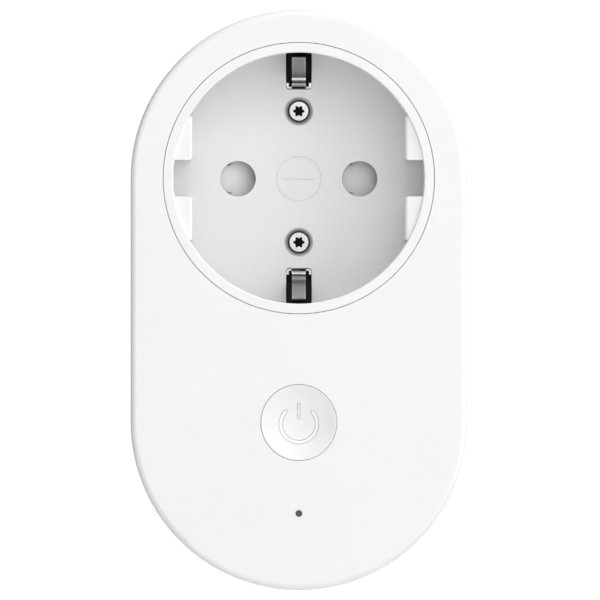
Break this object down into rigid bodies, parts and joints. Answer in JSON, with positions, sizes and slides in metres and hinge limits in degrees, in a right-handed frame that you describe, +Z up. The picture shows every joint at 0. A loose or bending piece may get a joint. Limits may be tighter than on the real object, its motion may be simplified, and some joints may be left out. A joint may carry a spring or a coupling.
{
  "type": "smart plug",
  "caption": "Pass-through smart plug: stadium-shaped slab with an earthed pin plug behind, a recessed shuttered socket, a round push button and an indicator light in front.",
  "frame": {"origin": "middle of the plug's engagement face, on the line between its two pins", "axes": "+Z up along the slab, +Y out along the plug pins towards the wall, +X to the right seen from the front; the front faces -Y"},
  "size_m": [0.0522, 0.0605, 0.0901],
  "materials": {
    "cover_white": "fine satin moulded plastic",
    "insert_white": "fine satin moulded plastic",
    "button_white": "smooth satin moulded plastic",
    "light_guide_white": "milky translucent plastic",
    "indicator_smoke": "dark translucent plastic",
    "shutter_white": "satin",
    "black_plastic": "matt black",
    "switch_plunger_plastic": "satin",
    "nickel_plate": "nickel-plated brass, lightly brushed",
    "contact_brass": "bare brass",
    "strap_copper": "bare copper alloy",
    "screw_steel": "zinc-plated steel",
    "spring_steel": "bright drawn wire",
    "shield_steel": "tin-plated steel",
    "board_green": "glass-epoxy board with solder mask",
    "led_lens": "clear lens",
    "transformer_yellow": "taped winding",
    "film_capacitor_yellow": "moulded box",
    "capacitor_sleeve": "shrink sleeve",
    "fuse_glass_beige": "ceramic body",
    "varistor_blue": "epoxy coat"
  },
  "bodies": {
    "housing": {"front_cover": "cover_white", "rear_cover": "cover_white", "socket_insert": "insert_white", "indicator_light_guide": "indicator_smoke", "contact_carrier": "black_plastic", "clip_pocket_covers": "black_plastic", "tact_switch_body": "black_plastic", "bridge_rectifier": "black_plastic", "metering_chip": "black_plastic", "relay": "black_plastic", "live_plug_pin": "nickel_plate", "neutral_plug_pin": "nickel_plate", "plug_earth_contact_upper": "nickel_plate", "plug_earth_contact_lower": "nickel_plate", "earth_bridge": "nickel_plate", "live_socket_contact": "contact_brass", "neutral_socket_contact": "contact_brass", "earth_pin_receptacle": "contact_brass", "live_supply_strap": "strap_copper", "neutral_supply_strap": "strap_copper", "live_load_strap": "strap_copper", "neutral_load_strap": "strap_copper", "socket_screws": "screw_steel", "board_screws": "screw_steel", "shutter_spring": "spring_steel", "radio_shield_can": "shield_steel", "main_circuit_board": "board_green", "radio_module_board": "board_green", "status_leds": "led_lens", "power_transformer": "transformer_yellow", "film_capacitor": "film_capacitor_yellow", "electrolytic_capacitors": "capacitor_sleeve", "input_fuse": "fuse_glass_beige", "varistor": "varistor_blue"},
    "button": {"power_button": "button_white", "button_light_guide": "light_guide_white"},
    "switch_plunger": {"tact_switch_plunger": "switch_plunger_plastic"},
    "shutter": {"shutter": "shutter_white"},
    "upper_clip": {"earth_clip_upper": "nickel_plate"},
    "lower_clip": {"earth_clip_lower": "nickel_plate"}
  },
  "joints": [
    {"name": "button_press", "type": "slide", "parent": "housing", "child": "button", "axis": [0, 1, 0], "range_m": [0, 0.0005], "stiffness_N_per_m": 2500, "springref_m": -0.0003},
    {"name": "switch_press", "type": "slide", "parent": "housing", "child": "switch_plunger", "axis": [0, 1, 0], "range_m": [0, 0.0005]},
    {"name": "shutter_slide", "type": "slide", "parent": "housing", "child": "shutter", "axis": [-1, 0, 0], "range_m": [0, 0.0055], "stiffness_N_per_m": 120, "springref_m": -0.003, "deforming": ["shutter_spring"]},
    {"name": "upper_clip_flex", "type": "hinge", "parent": "housing", "child": "upper_clip", "pos_m": [0, -0.02015, 0.01437], "axis": [-1, 0, 0], "range_deg": [0, 5], "stiffness_Nm_per_rad": 0.4},
    {"name": "lower_clip_flex", "type": "hinge", "parent": "housing", "child": "lower_clip", "pos_m": [0, -0.02015, -0.01437], "axis": [1, 0, 0], "range_deg": [0, 5], "stiffness_Nm_per_rad": 0.4}
  ],
  "couplings": [
    {"joint": "switch_press", "follows": "button_press", "ratio": 1}
  ]
}
